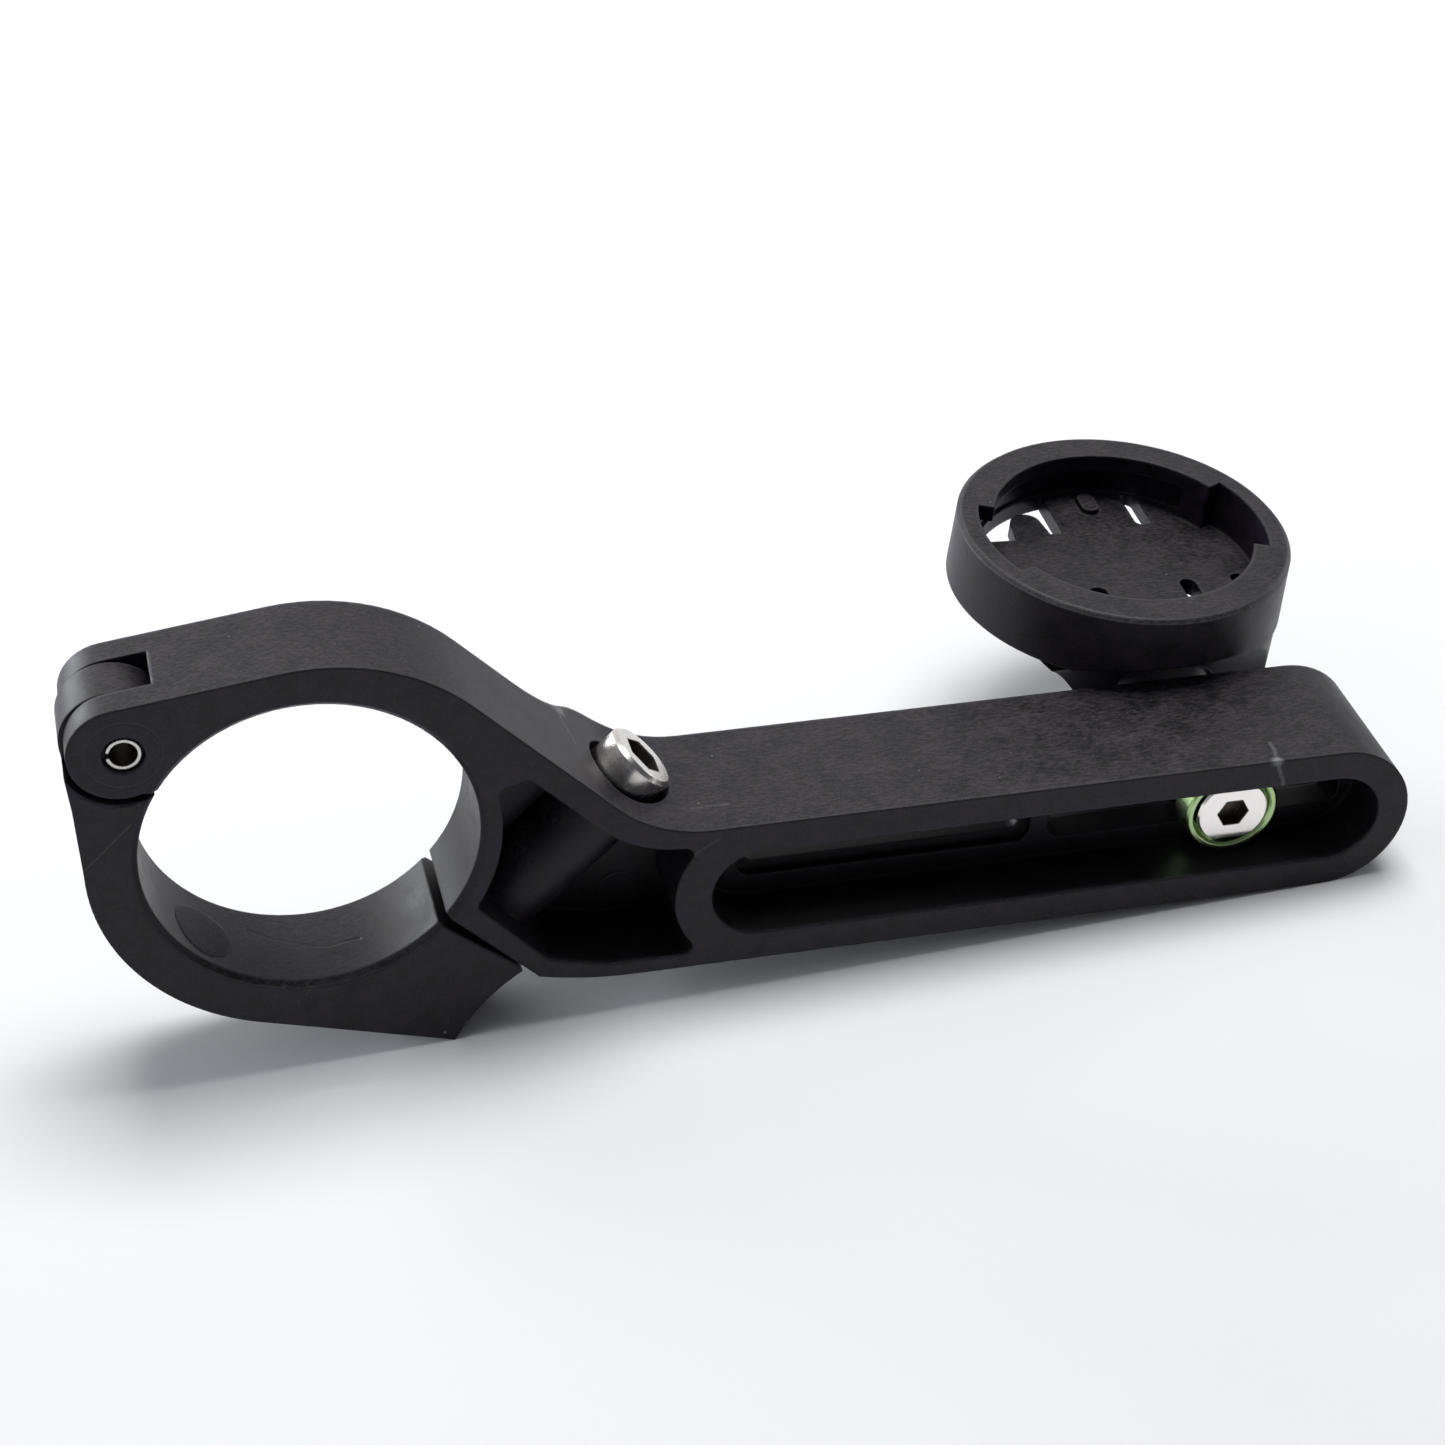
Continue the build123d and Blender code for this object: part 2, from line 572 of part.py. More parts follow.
with BuildPart() as cradle:
    # neck behind the arm, trimmed to the round of the cup
    with BuildSketch(Plane.XZ.offset(-neck_y1)):
        with BuildLine():
            ThreePointArc(neck_top_l, neck_bow_l, neck_left)
            ThreePointArc(neck_left, (screw_x, screw_z - neck_r), neck_right)
            ThreePointArc(neck_right, neck_bow_r, neck_top_r)
            Line(neck_top_r, neck_top_l)
        make_face()
    extrude(amount=neck_t)
    with BuildSketch(cup_plane.offset(-2 * cradle_rise)):
        Circle(cradle_r)
    extrude(amount=2 * cradle_rise, mode=Mode.INTERSECT)
    # cup body, a little wider at its foot, with a bevelled rim
    with BuildSketch(cup_plane.offset(-cradle_h)):
        Circle(cradle_r + cradle_foot)
    with BuildSketch(cup_plane.offset(-cradle_rim)):
        Circle(cradle_r)
    loft()
    with BuildSketch(cup_plane.offset(-cradle_rim)):
        Circle(cradle_r)
    extrude(amount=cradle_rim)
    chamfer(cradle.faces().sort_by(Axis.Z)[-1].edges(), length=cradle_bevel)
    # hollow swept over the arm's rear edge
    with BuildSketch(Plane.YZ.offset(cup_x - 2 * cradle_r)):
        with Locations((scoop_y, screw_z)):
            Circle(scoop_r)
    extrude(amount=4 * cradle_r, mode=Mode.SUBTRACT)
    # boss against the arm and spigot in the rear channel
    with BuildSketch(Plane.XZ.offset(-(neck_y1 - 1))):
        with Locations((screw_x, screw_z)):
            Circle(cradle_boss_r)
    extrude(amount=neck_y1 - 1 - arm_back_y - slide_gap)
    with BuildSketch(Plane.XZ.offset(-neck_y0)):
        with Locations((screw_x, screw_z)):
            Circle(channel_r - spigot_gap)
    extrude(amount=neck_y0 - web_back_y - slide_gap)
    # cup cavity under the quarter-turn flange
    with BuildSketch(cup_plane):
        Circle(flange_r)
    extrude(amount=-cup_depth, mode=Mode.SUBTRACT)
    with BuildSketch(cup_plane.offset(-flange_t)):
        Circle(tab_r)
    extrude(amount=-(cup_depth - flange_t), mode=Mode.SUBTRACT)
    # two entry notches through the flange and two stop blocks under it
    for mid in (notch_mid, notch_mid + 180):
        with BuildSketch(cup_plane):
            Circle(tab_r)
            wedge(mid, notch_half, 2 * tab_r)
        extrude(amount=-flange_t, mode=Mode.SUBTRACT)
    stop_mid = notch_mid + notch_half + stop_gap + stop_half
    for mid in (stop_mid, stop_mid + 180):
        with BuildSketch(cup_plane.offset(-cup_depth)):
            Circle(tab_r + stop_sink)
            Circle(flange_r, mode=Mode.SUBTRACT)
            wedge(mid, stop_half, 2 * tab_r)
        extrude(amount=cup_depth - flange_t)
    # openings in the floor: one wide with a rounded finger, then narrow ones
    with BuildSketch(cup_plane.offset(-cup_depth)):
        with BuildLine():
            Line((latch_r0[0], latch_back), latch_r0)
            ThreePointArc(latch_r0, polar(latch_r, (latch_a0 + latch_a1) / 2), latch_r1)
            Line(latch_r1, (latch_r1[0], latch_front))
            Line((latch_r1[0], latch_front), finger_left)
            Line(finger_left, (finger_x - finger_r, finger_y))
            ThreePointArc(
                (finger_x - finger_r, finger_y),
                (finger_x, finger_y + finger_r),
                (finger_x + finger_r, finger_y),
            )
            Line((finger_x + finger_r, finger_y), finger_right)
            Line(finger_right, (latch_r0[0], latch_back))
        make_face()
        floor_slot(slot_back[0], tab_r - slot_back[3], *slot_back[1:3])
        floor_slot(slot_front[0], slot_front[3] - tab_r, *slot_front[1:3])
        floor_slot(tab_r - slot_side[3], -slot_side[0], *slot_side[1:3])
    extrude(amount=-2 * cup_floor, mode=Mode.SUBTRACT)
    with BuildSketch(cup_plane.offset(-cup_depth)):
        floor_slot(-groove_front[0], groove_front[3] - tab_r, *groove_front[1:3])
    extrude(amount=-floor_groove, mode=Mode.SUBTRACT)
    # raised detent bar on the tongue
    with BuildSketch(cup_plane.offset(-cup_depth)):
        floor_slot(detent[0], tab_r - detent[3], *detent[1:3])
    extrude(amount=detent_h)
    # cavity for the threaded insert and screw passage
    with BuildSketch(Plane.XZ.offset(-web_back_y)):
        with Locations((screw_x, screw_z)):
            Circle(screw_hole_r)
    extrude(amount=-(cradle_insert_inset + cradle_insert_len + 1.5), mode=Mode.SUBTRACT)
    with BuildSketch(Plane.XZ.offset(-cradle_insert_y)):
        with Locations((screw_x, screw_z)):
            Circle(cradle_insert_r)
    extrude(amount=-cradle_insert_len, mode=Mode.SUBTRACT)
cradle.part.label = "cradle"

# Threaded insert held in the cradle's boss
with BuildPart() as cradle_insert:
    with BuildSketch(Plane.XZ.offset(-cradle_insert_y)):
        with Locations((screw_x, screw_z)):
            Circle(cradle_insert_r)
            Circle(cradle_insert_r - cradle_insert_wall, mode=Mode.SUBTRACT)
    extrude(amount=-cradle_insert_len)
    with BuildSketch(Plane.XZ.offset(-(cradle_insert_y + (cradle_insert_len - groove_w) / 2))):
        with Locations((screw_x, screw_z)):
            Circle(cradle_insert_r + groove_depth)
            Circle(cradle_insert_r - groove_depth, mode=Mode.SUBTRACT)
    extrude(amount=-groove_w, mode=Mode.SUBTRACT)
cradle_insert.part.label = "cradle_insert"

export_step(arm.part, "parts/arm.step")
export_step(lower_clamp.part, "parts/lower_clamp.step")
export_step(hinge_pin.part, "parts/hinge_pin.step")
export_step(clamp_bolt.part, "parts/clamp_bolt.step")
export_step(clamp_insert.part, "parts/clamp_insert.step")
export_step(cup_washer.part, "parts/cup_washer.step")
export_step(cradle_screw.part, "parts/cradle_screw.step")
export_step(cradle.part, "parts/cradle.step")
export_step(cradle_insert.part, "parts/cradle_insert.step")
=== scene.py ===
# Bike computer mount on a white studio floor: materials, two small moulded details, light and camera.
from math import cos, radians, sin

import bmesh
import bpy
from mathutils import Matrix, Vector


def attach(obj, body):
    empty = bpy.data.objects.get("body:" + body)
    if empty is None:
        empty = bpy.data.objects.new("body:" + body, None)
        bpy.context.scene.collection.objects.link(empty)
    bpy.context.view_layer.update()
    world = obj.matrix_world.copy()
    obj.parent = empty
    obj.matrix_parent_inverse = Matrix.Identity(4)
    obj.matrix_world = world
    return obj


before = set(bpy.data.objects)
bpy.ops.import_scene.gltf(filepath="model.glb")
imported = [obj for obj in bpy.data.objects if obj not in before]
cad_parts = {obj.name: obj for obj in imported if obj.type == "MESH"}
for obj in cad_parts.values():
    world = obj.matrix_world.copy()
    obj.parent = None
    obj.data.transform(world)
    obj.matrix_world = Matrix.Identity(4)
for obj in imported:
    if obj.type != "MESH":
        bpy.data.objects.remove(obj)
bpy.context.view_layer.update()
scene = bpy.context.scene

# Places on the object, in millimetres
MM = 0.001
front_y = -5.6
top_z = -3.5
bore_r = 15.9
pin_x, pin_z = -16.2, 13.0
screw_x, screw_z = 94.1, -11.8
bolt_foot = Vector((17.61, 2.4, -15.11))
bolt_way = Vector((1, 0, 1)).normalized()
front_way = Vector((0, -1, 0))

# Colours
white = (1.0, 1.0, 1.0, 1.0)
pale_scratch = (0.30, 0.30, 0.31)


# Node helpers
class Tree:
    """Short calls for building a shader tree. Points and widths are in millimetres."""

    def __init__(self, tree):
        self.tree = tree
        self.tree.nodes.clear()

    def add(self, kind, inputs=None, **props):
        node = self.tree.nodes.new(kind)
        for key, value in props.items():
            setattr(node, key, value)
        for key, value in (inputs or {}).items():
            self.put(node.inputs[key], value)
        return node

    def put(self, socket, value):
        if isinstance(value, bpy.types.NodeSocket):
            self.tree.links.new(value, socket)
        else:
            socket.default_value = value

    def math(self, op, a, b=0.0):
        node = self.add("ShaderNodeMath", operation=op)
        self.put(node.inputs[0], a)
        self.put(node.inputs[1], b)
        return node.outputs[0]

    def vector(self, op, a, b, out="Vector"):
        node = self.add("ShaderNodeVectorMath", operation=op)
        self.put(node.inputs[0], a)
        self.put(node.inputs[1], b)
        return node.outputs[out]

    def split(self, vector):
        return self.add("ShaderNodeSeparateXYZ", {"Vector": vector}).outputs

    def ramp(self, value, lo, hi, out_lo=0.0, out_hi=1.0):
        node = self.add("ShaderNodeMapRange", interpolation_type="SMOOTHSTEP")
        self.put(node.inputs["Value"], value)
        self.put(node.inputs["From Min"], lo)
        self.put(node.inputs["From Max"], hi)
        self.put(node.inputs["To Min"], out_lo)
        self.put(node.inputs["To Max"], out_hi)
        return node.outputs["Result"]

    def mix(self, factor, a, b):
        node = self.add("ShaderNodeMix", data_type="RGBA")
        self.put(node.inputs["Factor"], factor)
        self.put(node.inputs["A"], a)
        self.put(node.inputs["B"], b)
        return node.outputs["Result"]

    def blend(self, factor, a, b):
        node = self.add("ShaderNodeMix", data_type="FLOAT")
        self.put(node.inputs[0], factor)
        self.put(node.inputs[2], a)
        self.put(node.inputs[3], b)
        return node.outputs[0]

    def sum(self, *weighted):
        total = None
        for value, weight in weighted:
            part = self.math("MULTIPLY", value, weight)
            total = part if total is None else self.math("ADD", total, part)
        return total

    def product(self, first, *others):
        for value in others:
            first = self.math("MULTIPLY", first, value)
        return first

    def noise(self, coords, scale, detail=3.0, rough=0.55, out="Fac"):
        inputs = {"Vector": coords, "Scale": scale, "Detail": detail, "Roughness": rough}
        return self.add("ShaderNodeTexNoise", inputs).outputs[out]

    def fibres(self, coords, stretch, turn, seed):
        node = self.add("ShaderNodeMapping", {"Vector": coords, "Scale": stretch})
        node.inputs["Rotation"].default_value = (0, 0, radians(turn))
        node.inputs["Location"].default_value = (seed, seed * 0.7, seed * 0.3)
        return self.noise(node.outputs["Vector"], 1.0, 4.0, 0.6)

    def jitter(self, coords, scale, amount):
        shift = self.vector("SUBTRACT", self.noise(coords, scale, out="Color"), (0.5, 0.5, 0.5))
        shift = self.vector("MULTIPLY", shift, (amount * MM,) * 3)
        return self.vector("ADD", coords, shift)

    def near(self, coords, point, r_in, r_out):
        """1 within r_in of a point, 0 beyond r_out."""
        gap = self.vector("DISTANCE", coords, Vector(point) * MM, "Value")
        return self.ramp(gap, r_in * MM, r_out * MM, 1.0, 0.0)

    def ring(self, coords, point, radius, width):
        """1 at a radius from a point, 0 beyond a width to either side."""
        gap = self.vector("DISTANCE", coords, Vector(point) * MM, "Value")
        off = self.math("ABSOLUTE", self.math("SUBTRACT", gap, radius * MM))
        return self.ramp(off, 0.0, width * MM, 1.0, 0.0)

    def line(self, coords, points, r_in, r_out):
        """1 on a line through the points, 0 beyond r_out from it."""
        best = None
        for a, b in zip(points, points[1:]):
            start, run = Vector(a) * MM, (Vector(b) - Vector(a)) * MM
            from_a = self.vector("SUBTRACT", coords, start)
            along = self.vector("DOT_PRODUCT", from_a, run / run.length_squared, "Value")
            along = self.math("MINIMUM", self.math("MAXIMUM", along, 0.0), 1.0)
            foot = self.add("ShaderNodeVectorMath", operation="SCALE")
            foot.inputs[0].default_value = run
            self.put(foot.inputs["Scale"], along)
            gap = self.vector("DISTANCE", from_a, foot.outputs["Vector"], "Value")
            best = gap if best is None else self.math("MINIMUM", best, gap)
        return self.ramp(best, r_in * MM, r_out * MM, 1.0, 0.0)

    def rays(self, *kinds):
        """1 on rays of any of these kinds."""
        path = self.add("ShaderNodeLightPath").outputs
        found = path[kinds[0]]
        for kind in kinds[1:]:
            found = self.math("MAXIMUM", found, path[kind])
        return found


def rgb(r, g, b):
    return (r, g, b, 1.0)


def material(name):
    mat = bpy.data.materials.new(name)
    mat.use_nodes = True
    tree = Tree(mat.node_tree)
    out = tree.add("ShaderNodeOutputMaterial")
    shader = tree.add("ShaderNodeBsdfPrincipled")
    tree.put(out.inputs["Surface"], shader.outputs["BSDF"])
    return mat, tree, shader


def soft_edge(t, radius):
    """The surface's normal with its edges rounded, from a radius in millimetres."""
    bevel = t.add("ShaderNodeBevel", samples=4)
    bevel.inputs["Radius"].default_value = radius * MM
    return bevel.outputs["Normal"]


def relief(t, shader, soft_normal, height, strength, depth):
    """A bump from a height, over soft edges. The bump's depth is in millimetres."""
    bump = t.add("ShaderNodeBump", {"Height": height, "Normal": soft_normal})
    bump.inputs["Strength"].default_value = strength
    bump.inputs["Distance"].default_value = depth * MM
    t.put(shader.inputs["Normal"], bump.outputs["Normal"])


# Nylon
class Skin:
    """The colour, roughness and height that the marks of a moulding change."""

    def __init__(self, colour, rough, height):
        self.colour, self.rough, self.height = colour, rough, height

    def paint(self, t, mask, strength, colour):
        self.colour = t.mix(t.math("MULTIPLY", mask, strength), self.colour, rgb(*colour))

    def dent(self, t, mask, depth):
        self.height = t.math("SUBTRACT", self.height, t.math("MULTIPLY", mask, depth))


def plastic(name, seed, marks=None, specular=0.25):
    """Black glass-filled nylon: short fibres on the faces turned up, satin on the sides, soft edges. The
    faces turned up are also painted lighter than the sides, as painted light from above.
    """
    mat, t, shader = material(name)
    coords = t.add("ShaderNodeTexCoord").outputs["Object"]
    normal = t.add("ShaderNodeNewGeometry").outputs["Normal"]
    up = t.ramp(t.split(normal)["Z"], 0.25, 0.75)
    soft_normal = soft_edge(t, 0.45)
    flatness = t.vector("DOT_PRODUCT", soft_normal, normal, "Value")
    fibre = t.sum(
        (t.fibres(coords, (1300, 4600, 2400), 38, seed), 0.5),
        (t.fibres(coords, (1500, 4200, 2100), -47, seed + 3), 0.5),
    )
    fleck = t.noise(coords, 5200, 2.0, 0.7)
    cloud = t.noise(coords, 260, 4.0, 0.6)
    blotch = t.noise(coords, 420, 4.0, 0.65)
    tone = t.ramp(t.sum((fibre, 0.6), (fleck, 0.2), (cloud, 0.2)), 0.40, 0.62)
    # painted light: the faces turned up are lighter than the sides, over their fibre tone
    lit_upper = t.mix(tone, rgb(0.0020, 0.0016, 0.0026), rgb(0.0440, 0.0395, 0.0480))
    mottle = t.ramp(t.sum((blotch, 0.5), (fleck, 0.5)), 0.38, 0.62)
    lower = t.mix(mottle, rgb(0.0014, 0.0006, 0.0030), rgb(0.0150, 0.0105, 0.0220))
    upper_rough = t.ramp(t.sum((fibre, 0.6), (cloud, 0.4)), 0.35, 0.65, 0.42, 0.58)
    lower_rough = t.ramp(blotch, 0.25, 0.8, 0.38, 0.50)
    skin = Skin(
        t.mix(up, lower, lit_upper),
        t.blend(up, lower_rough, upper_rough),
        t.sum((fibre, t.blend(up, 0.3, 1.0)), (fleck, t.blend(up, 0.15, 0.5))),
    )
    # painted highlight: a light line just inside the edges of the faces turned up
    edge_highlight = t.product(t.ramp(flatness, 0.9990, 0.9900), t.ramp(flatness, 0.8500, 0.9300), up)
    skin.paint(t, edge_highlight, 0.75, (0.085, 0.082, 0.090))
    dust = t.add("ShaderNodeTexVoronoi", {"Vector": coords, "Scale": 250.0}).outputs["Distance"]
    specks = t.product(t.ramp(dust, 0.016, 0.034, 1.0, 0.0), up)
    skin.paint(t, specks, 0.5, pale_scratch)
    if marks:
        marks(t, coords, skin)
    t.put(shader.inputs["Base Color"], skin.colour)
    t.put(shader.inputs["Roughness"], skin.rough)
    relief(t, shader, soft_normal, skin.height, 0.6, 0.024)
    shader.inputs["Specular IOR Level"].default_value = specular
    return mat


def arm_marks(t, coords, skin):
    rough_coords = t.jitter(coords, 1500, 0.5)
    # painted shade inside the pocket and the channels
    xyz = t.split(coords)
    recess_shade = t.product(
        t.ramp(xyz["Y"], -5.5 * MM, -4.9 * MM),
        t.ramp(xyz["Z"], -4.6 * MM, -4.2 * MM, 1.0, 0.0),
        t.ramp(xyz["X"], 21.0 * MM, 22.5 * MM),
    )
    skin.paint(t, recess_shade, 0.75, (0.0070, 0.0062, 0.0080))
    # pale stress mark over the arm's upper front edge
    crack = [(96.97, -2.4, top_z), (96.9, -3.7, top_z), (96.55, -5.5, top_z)]
    crack += [(96.7, front_y, -4.1), (97.3, front_y, -5.7), (97.75, front_y, -7.2)]
    skin.paint(t, t.line(rough_coords, crack, 0.02, 0.34), 0.35, (0.22, 0.22, 0.24))
    skin.paint(t, t.near(rough_coords, crack[2], 0.1, 0.9), 0.55, (0.34, 0.35, 0.37))
    # whitened edge and a thin line on the slope behind the bolt
    chalk = t.ramp(t.noise(coords, 900, 3.0, 0.6), 0.40, 0.62)
    whitened = t.product(t.near(coords, (25.7, 7.2, 3.7), 0.4, 2.0), chalk)
    skin.paint(t, whitened, 0.42, (0.34, 0.34, 0.36))
    slope_line = [(25.4, 6.6, 4.0), (25.8, 4.6, 3.6), (26.4, 2.2, 3.0)]
    skin.paint(t, t.line(rough_coords, slope_line, 0.02, 0.3), 0.16, pale_scratch)
    # brown smudge by the bolt
    smudge = t.product(t.near(coords, (26.6, -1.6, 2.8), 0.8, 4.2), t.ramp(t.noise(coords, 380), 0.38, 0.6))
    skin.paint(t, smudge, 0.5, (0.030, 0.024, 0.018))
    # broken mould line on the arm's top and a faint streak on its front
    for a, b, shade in ((35.6, 38.0, 0.5), (38.6, 40.7, 0.35)):
        seam = t.line(t.jitter(coords, 700, 0.5), [(a, -1.7, top_z), (b, -1.8, top_z)], 0.01, 0.2)
        skin.paint(t, seam, shade, (0.16, 0.16, 0.165))
    streak = t.line(rough_coords, [(36.3, front_y, -6.4), (38.9, front_y, -4.6)], 0.02, 0.3)
    skin.paint(t, streak, 0.07, pale_scratch)
    # ring round the hinge pin and ejector mark on the pocket's floor
    ring = t.ring(coords, (pin_x, front_y, pin_z), 3.5, 0.2)
    skin.dent(t, ring, 1.6)
    skin.paint(t, ring, 0.12, (0.06, 0.06, 0.065))
    ejector = (31.0, 2.9, -15.95)
    skin.dent(t, t.ring(coords, ejector, 2.05, 0.16), 1.8)
    skin.paint(t, t.near(coords, ejector, 1.9, 2.1), 0.45, (0.010, 0.010, 0.014))


def lower_marks(t, coords, skin):
    # flow line in the bore, and a glossy patch that is also painted darker as a painted reflection
    flow = [(-5.7, 2.2, -14.8), (-3.9, 1.3, -15.4), (-1.1, 0.35, -15.9)]
    flow += [(1.2, -0.5, -15.9), (2.7, -0.5, -15.7), (4.6, -0.7, -15.2)]
    trail = t.line(t.jitter(coords, 500, 0.7), flow, 0.02, 0.35)
    skin.dent(t, trail, 5.0)
    skin.paint(t, trail, 0.85, (0.003, 0.003, 0.004))
    glossy_patch_painted_reflection = t.product(t.near(coords, (2.2, -2.2, -15.75), 0.6, 3.4), t.ramp(t.noise(coords, 420), 0.42, 0.56))
    skin.rough = t.blend(glossy_patch_painted_reflection, skin.rough, 0.27)
    # painted reflection: the glossy patch is painted darker
    skin.paint(t, glossy_patch_painted_reflection, 0.6, (0.004, 0.004, 0.005))
    # raised line below the hinge, and a scratch
    ridge = [(-20.5, front_y, 9.2), (-19.1, front_y, 8.2), (-18.0, front_y, 7.5), (-16.5, front_y, 7.5)]
    ridge += [(-15.8, front_y, 7.7), (-15.2, front_y, 7.15), (-14.6, front_y, 7.9)]
    edge = t.line(coords, ridge, 0.02, 0.22)
    skin.dent(t, edge, 2.5)
    skin.paint(t, edge, 0.6, (0.0015, 0.0015, 0.002))
    scratch = t.line(t.jitter(coords, 900, 0.3), [(-20.6, front_y, 0.8), (-16.2, front_y, 5.3)], 0.01, 0.16)
    skin.paint(t, scratch, 0.10, pale_scratch)
    # rubbed patch under the bore and a pit on the lug's tip
    chalk = t.ramp(t.noise(coords, 1300, 3.0, 0.65), 0.52, 0.66)
    rubbed = t.product(t.near(coords, (-2.6, front_y, -16.4), 0.4, 2.6), chalk)
    skin.paint(t, rubbed, 0.12, pale_scratch)
    skin.paint(t, t.near(coords, (11.9, front_y, -24.4), 0.05, 0.22), 0.5, pale_scratch)


def cradle_marks(t, coords, skin):
    # rubbed arcs where the computer's foot turns
    swirl = t.fibres(coords, (260, 2400, 900), 20, 2.0)
    rubbed = t.product(t.near(coords, (92.5, 22.0, 7.0), 2.0, 15.0), t.ramp(swirl, 0.5, 0.7))
    skin.paint(t, rubbed, 0.16, (0.12, 0.115, 0.12))
    # nick in the cup's side
    nick = t.near(coords, (72.7, 24.5, 5.3), 0.15, 0.45)
    skin.dent(t, nick, 1.0)
    skin.paint(t, nick, 0.9, (0.001, 0.001, 0.001))


def swell_painted_highlight(t, coords, skin):
    # rubbed pale on top
    # painted highlight: lighter on top of the swell
    skin.paint(t, t.near(coords, (91.9, 11.6, -2.9), 0.5, 4.0), 0.75, (0.20, 0.195, 0.20))


# Metal
def metal(name, colour_a, colour_b, rough, centre, axis, rings=0.0, brush=0.0, socket=0.0):
    """Machined metal with turning rings about an axis, which points out of the front.

    Where a socket's radius is given, everything within it behind the front is painted darker and brownish, as
    painted shade in the hollow, the shank too.
    """
    mat, t, shader = material(name)
    coords = t.add("ShaderNodeTexCoord").outputs["Object"]
    mapping = t.add("ShaderNodeMapping", {"Vector": coords}, vector_type="TEXTURE")
    mapping.inputs["Location"].default_value = Vector(centre) * MM
    mapping.inputs["Rotation"].default_value = Vector(axis).to_track_quat("Z", "Y").to_euler()
    xyz = t.split(mapping.outputs["Vector"])
    flat = t.add("ShaderNodeCombineXYZ", {"X": xyz["X"], "Y": xyz["Y"]})
    radius = t.vector("DISTANCE", flat.outputs["Vector"], (0, 0, 0), "Value")
    ringed = t.add("ShaderNodeCombineXYZ", {"X": radius, "Y": t.math("MULTIPLY", xyz["Z"], 0.25)})
    turned = t.noise(ringed.outputs["Vector"], 7000, 2.0, 0.6)
    grain = t.noise(coords, 2600, 4.0, 0.6)
    smear = t.noise(coords, 300, 3.0, 0.55)
    tone = t.ramp(t.sum((turned, 0.6), (smear, 0.4)), 0.3, 0.7)
    colour = t.mix(tone, rgb(*colour_a), rgb(*colour_b))
    gloss = t.ramp(t.sum((grain, 0.5), (smear, 0.5)), 0.3, 0.7, rough - 0.05, rough + 0.06)
    if socket:
        # painted shade in the socket's hollow
        socket_shade = t.math("LESS_THAN", radius, socket * MM)
        socket_shade = t.product(socket_shade, t.ramp(xyz["Z"], -0.25 * MM, -0.05 * MM, 1.0, 0.0))
        colour = t.mix(t.math("MULTIPLY", socket_shade, 0.92), colour, rgb(0.075, 0.050, 0.036))
        gloss = t.blend(socket_shade, gloss, 0.5)
    t.put(shader.inputs["Base Color"], colour)
    t.put(shader.inputs["Roughness"], gloss)
    shader.inputs["Metallic"].default_value = 1.0
    relief(t, shader, soft_edge(t, 0.15), t.sum((turned, rings), (grain, brush)), 0.5, 0.012)
    return mat


def reach(node, axis):
    """How far a node goes along an axis, in millimetres."""
    return max(v.co.dot(axis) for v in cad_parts[node].data.vertices) / MM


bolt_top = bolt_foot + bolt_way * (reach("clamp_bolt", bolt_way) - bolt_foot.dot(bolt_way))
screw_top = Vector((screw_x, -reach("cradle_screw", front_way), screw_z))
pin_top = Vector((pin_x, -reach("hinge_pin", front_way), pin_z))
dark_brass, brass = (0.45, 0.33, 0.14), (0.62, 0.48, 0.24)
looks = {
    "arm": plastic("arm_nylon", 0.0, arm_marks),
    "lower_clamp": plastic("lower_nylon", 5.0, lower_marks),
    "cradle": plastic("cradle_nylon", 9.0, cradle_marks),
    "hinge_pin": metal(
        "pin_steel", (0.46, 0.45, 0.43), (0.68, 0.67, 0.64), 0.24, pin_top, front_way, 0.3, 0.4,
        socket=1.38,
    ),
    "clamp_bolt": metal(
        "bolt_stainless", (0.50, 0.48, 0.45), (0.74, 0.72, 0.69), 0.24, bolt_top, bolt_way, 0.4, 0.3,
        socket=2.45,
    ),
    "clamp_insert": metal("insert_brass", dark_brass, brass, 0.35, bolt_top, bolt_way, 0.5, 0.5),
    "cup_washer": metal(
        "washer_green", (0.26, 0.42, 0.15), (0.46, 0.60, 0.32), 0.20, screw_top, front_way, 0.1, 0.05
    ),
    "cradle_screw": metal(
        "screw_silver", (0.86, 0.83, 0.80), (0.96, 0.93, 0.90), 0.13, screw_top, front_way, 0.2, 0.1,
        socket=1.8,
    ),
    "cradle_insert": metal("cradle_insert_brass", dark_brass, brass, 0.35, screw_top, front_way, 0.5, 0.5),
}
for name, mat in looks.items():
    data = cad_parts[name].data
    if data.materials:
        for i in range(len(data.materials)):
            data.materials[i] = mat
    else:
        data.materials.append(mat)


# Moulded details
def surface_piece(name, points, columns, body, mat):
    """A smooth sheet over a grid of points in millimetres."""
    mesh = bpy.data.meshes.new(name)
    rows = len(points) // columns
    faces = []
    for j in range(rows - 1):
        for i in range(columns - 1):
            a = j * columns + i
            faces.append((a, a + 1, a + columns + 1, a + columns))
    mesh.from_pydata([Vector(p) * MM for p in points], [], faces)
    clean = bmesh.new()
    clean.from_mesh(mesh)
    bmesh.ops.remove_doubles(clean, verts=clean.verts, dist=1e-3 * MM)
    clean.to_mesh(mesh)
    clean.free()
    mesh.shade_smooth()
    piece = bpy.data.objects.new(name, mesh)
    scene.collection.objects.link(piece)
    mesh.materials.append(mat)
    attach(piece, body)


round_steps = 48
round_angles = [radians(360 / round_steps * i) for i in range(round_steps + 1)]

# ejector mark standing a little proud in the lower half's bore, on polar rings
mark_r, mark_a, mark_y = 3.45, radians(228.6), -0.7
mark_profile = ((0.0, 0.07), (0.35, 0.07), (0.7, 0.07), (0.93, 0.07), (0.97, 0.05), (1.0, -0.05))
disc = []
for share, rise in mark_profile:
    for turn in round_angles:
        at = mark_a + share * mark_r * cos(turn) / bore_r
        r = bore_r - rise
        disc.append((r * cos(at), mark_y + share * mark_r * sin(turn), r * sin(at)))
dull = plastic("ejector_nylon", 2.0, specular=0.12)
surface_piece("ejector_mark", disc, len(round_angles), "lower_half", dull)

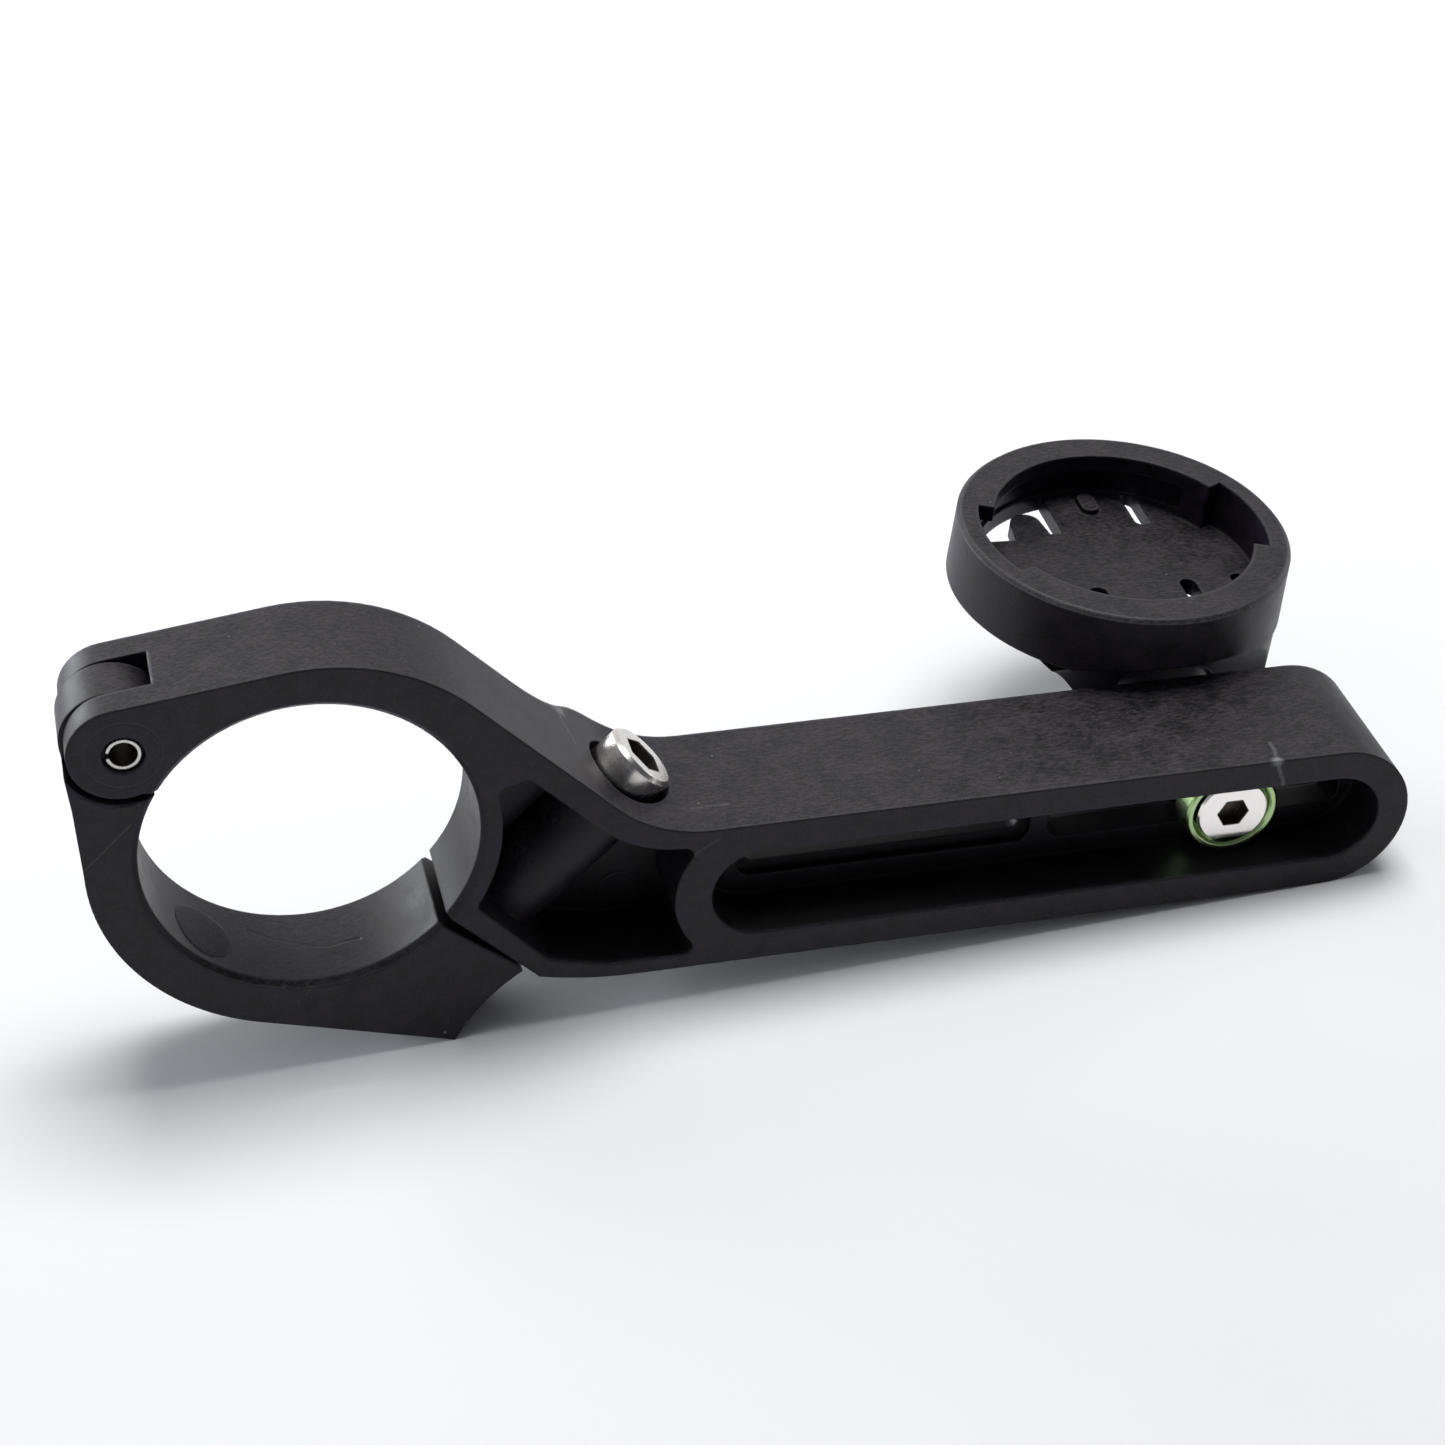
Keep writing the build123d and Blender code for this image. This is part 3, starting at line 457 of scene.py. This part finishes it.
# rounded swell on the neck's front face, just behind the arm's rear edge
swell_x, swell_y, swell_z = 91.6, 13.4, -6.2
swell_half_w, swell_proud, swell_half_h = 5.0, 2.8, 3.5
swell_rows = 16
swell = []
for row in range(swell_rows):
    lean = radians(90 * row / (swell_rows - 1))
    for turn in round_angles:
        x = swell_x + swell_half_w * sin(lean) * cos(turn)
        y = swell_y - swell_proud * cos(lean)
        z = swell_z + swell_half_h * sin(lean) * sin(turn)
        swell.append((x, y, z))
swell_highlight_nylon = plastic("swell_nylon", 12.0, swell_painted_highlight)
surface_piece("neck_swell", swell, len(round_angles), "cradle", swell_highlight_nylon)


# Floor under the lug and the arm's end, in metres
floor_lean = radians(3.4)
floor_toe = Vector((12.9, 0.0, -25.56)) * MM
floor_half = 3.0
floor_middle = (0.045, 0.02, -0.024)
fade_from, fade_to = 0.17, 0.34


def floor_point(x, y):
    return (floor_toe.x + x * cos(floor_lean), y, floor_toe.z + x * sin(floor_lean))


def floor_material():
    """White, painted a little greyer in front as painted shade. Far from the object it goes over to plain
    white.
    """
    mat, t, shader = material("white_sweep")
    coords = t.add("ShaderNodeTexCoord").outputs["Object"]
    # painted shade: greyer towards the front
    depth = t.ramp(t.split(coords)["Y"], -0.14, 0.10)
    shaded_front_colour = t.mix(t.noise(coords, 12, 3.0, 0.5), rgb(0.87, 0.88, 0.905), rgb(0.89, 0.90, 0.925))
    t.put(shader.inputs["Base Color"], t.mix(depth, shaded_front_colour, rgb(0.95, 0.955, 0.965)))
    shader.inputs["Roughness"].default_value = 0.75
    shader.inputs["Specular IOR Level"].default_value = 0.2
    looked_at = t.rays("Is Camera Ray", "Is Glossy Ray", "Is Transmission Ray")
    far_off = t.ramp(t.vector("DISTANCE", coords, floor_middle, "Value"), fade_from, fade_to)
    plain = t.add("ShaderNodeEmission", {"Color": white, "Strength": 1.0})
    cover = t.add("ShaderNodeMixShader", {"Fac": t.product(looked_at, far_off)})
    ending = shader.outputs["BSDF"].links[0].to_node
    t.put(cover.inputs[1], shader.outputs["BSDF"])
    t.put(cover.inputs[2], plain.outputs["Emission"])
    t.put(ending.inputs["Surface"], cover.outputs["Shader"])
    return mat


mesh = bpy.data.meshes.new("studio_floor")
floor_corners = [(-floor_half, -floor_half), (floor_half, -floor_half)]
floor_corners += [(floor_half, floor_half), (-floor_half, floor_half)]
mesh.from_pydata([floor_point(x, y) for x, y in floor_corners], [], [(0, 1, 2, 3)])
mesh.materials.append(floor_material())
floor = bpy.data.objects.new("studio_floor", mesh)
scene.collection.objects.link(floor)

# Room: white to the camera, and to mirrors bright behind the object and dim in front
world = bpy.data.worlds.new("soft_room")
scene.world = world
world.use_nodes = True
t = Tree(world.node_tree)
sky = t.split(t.add("ShaderNodeTexCoord").outputs["Generated"])
behind = t.ramp(t.sum((sky["X"], -0.62), (sky["Y"], 0.85), (sky["Z"], 0.3)), -0.4, 0.85)
overhead = t.ramp(sky["Z"], 0.05, 0.8)
camera_ray = t.rays("Is Camera Ray")
mirrored = t.rays("Is Glossy Ray", "Is Transmission Ray")
room_light = t.blend(overhead, 0.02, 0.20)
room_mirror = t.blend(behind, 0.13, 1.0)
level = t.blend(camera_ray, t.blend(mirrored, room_light, room_mirror), 1.0)
tint = t.mix(camera_ray, t.mix(behind, rgb(0.86, 0.88, 1.0), rgb(1.0, 0.985, 1.0)), white)
room = t.add("ShaderNodeBackground", {"Color": tint, "Strength": level})
t.put(t.add("ShaderNodeOutputWorld").inputs["Surface"], room.outputs["Background"])

# Lamps, all turned to the middle of the object
lamp_aim = Vector((0.05, 0.0, -0.01))


def softbox(name, place, size, power, colour):
    light = bpy.data.lights.new(name, "AREA")
    light.shape = "RECTANGLE"
    light.size, light.size_y = size
    light.energy = power
    light.color = colour
    lamp = bpy.data.objects.new(name, light)
    scene.collection.objects.link(lamp)
    lamp.location = place
    lamp.rotation_euler = (lamp_aim - Vector(place)).to_track_quat("-Z", "Y").to_euler()


softbox("overhead_box", (0.10, 0.14, 1.0), (0.6, 0.45), 8.7, (1, 1, 1))
softbox("left_box", (-0.75, -0.15, 0.5), (0.6, 0.6), 0.6, (0.94, 0.97, 1.0))
softbox("right_box", (0.95, 0.22, 0.10), (0.5, 0.3), 2.2, (0.95, 0.97, 1.0))
softbox("back_left_box", (-0.62, 0.75, 0.16), (0.6, 0.3), 6.0, (0.90, 0.94, 1.0))

# Camera, at the photograph's angle
image_px, focal_px = 1445.0, 3000.0
place = Vector((-21.157, -227.136, 170.782)) * MM
right = Vector((0.97053, -0.23874, 0.03290)).normalized()
look = Vector((0.21365, 0.78917, -0.57582)).normalized()
above = right.cross(look).normalized()
right = look.cross(above)
cam = bpy.data.cameras.new("photo_camera")
cam.sensor_fit = "HORIZONTAL"
cam.sensor_width = 36.0
cam.lens = focal_px / image_px * cam.sensor_width
cam.clip_start = 0.01
camera = bpy.data.objects.new("photo_camera", cam)
scene.collection.objects.link(camera)
camera.matrix_world = Matrix([(right[i], above[i], -look[i], place[i]) for i in range(3)] + [(0, 0, 0, 1)])
scene.camera = camera
scene.view_settings.view_transform = "Standard"
scene.view_settings.look = "None"
